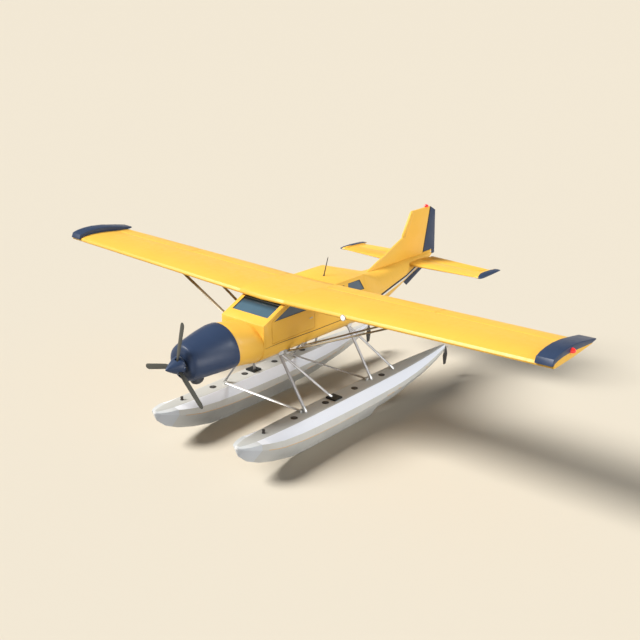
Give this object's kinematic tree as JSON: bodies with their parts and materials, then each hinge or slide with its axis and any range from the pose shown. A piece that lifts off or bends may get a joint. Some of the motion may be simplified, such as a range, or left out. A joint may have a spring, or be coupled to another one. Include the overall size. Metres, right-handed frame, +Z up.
{
  "type": "floatplane",
  "caption": "High wing single engine floatplane with strut braced wing, cabin doors, flaps, tail with dorsal fin, and a pair of deep stepped floats on a strut frame.",
  "frame": {"origin": "centre of the bounding box in X and Y, at the bottom of the float keels", "axes": "+Z up, nose towards -Y, port wing towards +X"},
  "size_m": [14.7896, 10.072, 4.5575],
  "materials": {
    "yellow_paint": "gloss",
    "navy_paint": "gloss",
    "window_glass": "clear",
    "dark_trim": "satin",
    "engine_metal": "as cast",
    "blade_paint": "satin",
    "seat_cloth": "worn",
    "float_alloy": "satin",
    "strut_alloy": "satin",
    "red_lens": "gloss",
    "green_lens": "gloss",
    "clear_lens": "gloss"
  },
  "bodies": {
    "airframe": {"cowl": "navy_paint", "chin_outlet": "dark_trim", "engine": "engine_metal", "nose_section": "yellow_paint", "cabin_floor": "yellow_paint", "windscreen_frame": "yellow_paint", "windscreen": "window_glass", "cabin_side_left": "yellow_paint", "cabin_side_right": "yellow_paint", "mid_window_left": "window_glass", "mid_window_right": "window_glass", "rear_window_left": "window_glass", "rear_window_right": "window_glass", "cabin_roof": "yellow_paint", "instrument_panel": "dark_trim", "seat_pilot": "seat_cloth", "seat_copilot": "seat_cloth", "bench_rear": "seat_cloth", "rear_fuselage": "yellow_paint", "tailplane": "yellow_paint", "fin": "yellow_paint", "ventral_fin": "navy_paint", "wing_centre": "yellow_paint", "wing_left": "yellow_paint", "wing_right": "yellow_paint", "wingtip_left": "navy_paint", "wingtip_right": "navy_paint", "wing_strut_front_left": "strut_alloy", "wing_strut_front_right": "strut_alloy", "wing_strut_rear_left": "strut_alloy", "wing_strut_rear_right": "strut_alloy", "float_left": "float_alloy", "float_right": "float_alloy", "float_strut_front_left": "strut_alloy", "float_strut_front_right": "strut_alloy", "float_strut_rear_left": "strut_alloy", "float_strut_rear_right": "strut_alloy", "spreader_front": "strut_alloy", "spreader_rear": "strut_alloy", "antenna": "dark_trim", "nav_light_left": "red_lens", "nav_light_right": "green_lens", "beacon": "red_lens", "landing_light": "clear_lens"},
    "propeller": {"propeller": "blade_paint", "spinner": "navy_paint"},
    "door_left": {"door_left": "yellow_paint", "door_window_left": "window_glass"},
    "door_right": {"door_right": "yellow_paint", "door_window_right": "window_glass"},
    "flap_left": {"flap_left": "yellow_paint"},
    "flap_right": {"flap_right": "yellow_paint"},
    "aileron_left": {"aileron_left": "yellow_paint"},
    "aileron_right": {"aileron_right": "yellow_paint"},
    "elevator": {"elevator_left": "yellow_paint", "elevator_right": "yellow_paint"},
    "rudder": {"rudder": "navy_paint"},
    "water_rudder_left": {"water_rudder_left": "dark_trim"},
    "water_rudder_right": {"water_rudder_right": "dark_trim"}
  },
  "joints": [
    {"name": "propeller_spin", "type": "hinge", "parent": "airframe", "child": "propeller", "pos_m": [0, -4.726, 2.565], "axis": [0, 1, 0], "continuous": true},
    {"name": "door_left_hinge", "type": "hinge", "parent": "airframe", "child": "door_left", "pos_m": [0.673, -2.4735, 2.98], "axis": [0, 0, -1], "range_deg": [0, 40]},
    {"name": "door_right_hinge", "type": "hinge", "parent": "airframe", "child": "door_right", "pos_m": [-0.673, -2.4735, 2.98], "axis": [0, 0, 1], "range_deg": [0, 40]},
    {"name": "flap_left_hinge", "type": "hinge", "parent": "airframe", "child": "flap_left", "pos_m": [2.33, -0.72524, 3.53512], "axis": [-0.9991, 0.028, -0.0314], "range_deg": [0, 40]},
    {"name": "flap_right_hinge", "type": "hinge", "parent": "airframe", "child": "flap_right", "pos_m": [-2.33, -0.72524, 3.53512], "axis": [-0.9991, -0.028, 0.0314], "range_deg": [0, 40]},
    {"name": "aileron_left_hinge", "type": "hinge", "parent": "airframe", "child": "aileron_left", "pos_m": [5.34, -0.80952, 3.62965], "axis": [-0.9991, 0.028, -0.0314], "range_deg": [-20, 20]},
    {"name": "aileron_right_hinge", "type": "hinge", "parent": "airframe", "child": "aileron_right", "pos_m": [-5.34, -0.80952, 3.62965], "axis": [-0.9991, -0.028, 0.0314], "range_deg": [-20, 20]},
    {"name": "elevator_hinge", "type": "hinge", "parent": "airframe", "child": "elevator", "pos_m": [0, 4.16, 3.055], "axis": [1, 0, 0], "range_deg": [-20, 25]},
    {"name": "rudder_hinge", "type": "hinge", "parent": "airframe", "child": "rudder", "pos_m": [0, 4.42, 3.198], "axis": [0, 0.2404, 0.9707], "range_deg": [-25, 25]},
    {"name": "water_rudder_left_pivot", "type": "hinge", "parent": "airframe", "child": "water_rudder_left", "pos_m": [1.347, 3.712, 0.8], "axis": [0, 0, 1], "range_deg": [-30, 30]},
    {"name": "water_rudder_right_pivot", "type": "hinge", "parent": "airframe", "child": "water_rudder_right", "pos_m": [-1.347, 3.712, 0.8], "axis": [0, 0, 1], "range_deg": [-30, 30]}
  ],
  "couplings": [
    {"joint": "flap_right_hinge", "follows": "flap_left_hinge", "ratio": 1},
    {"joint": "aileron_right_hinge", "follows": "aileron_left_hinge", "ratio": -1},
    {"joint": "water_rudder_right_pivot", "follows": "water_rudder_left_pivot", "ratio": 1}
  ]
}
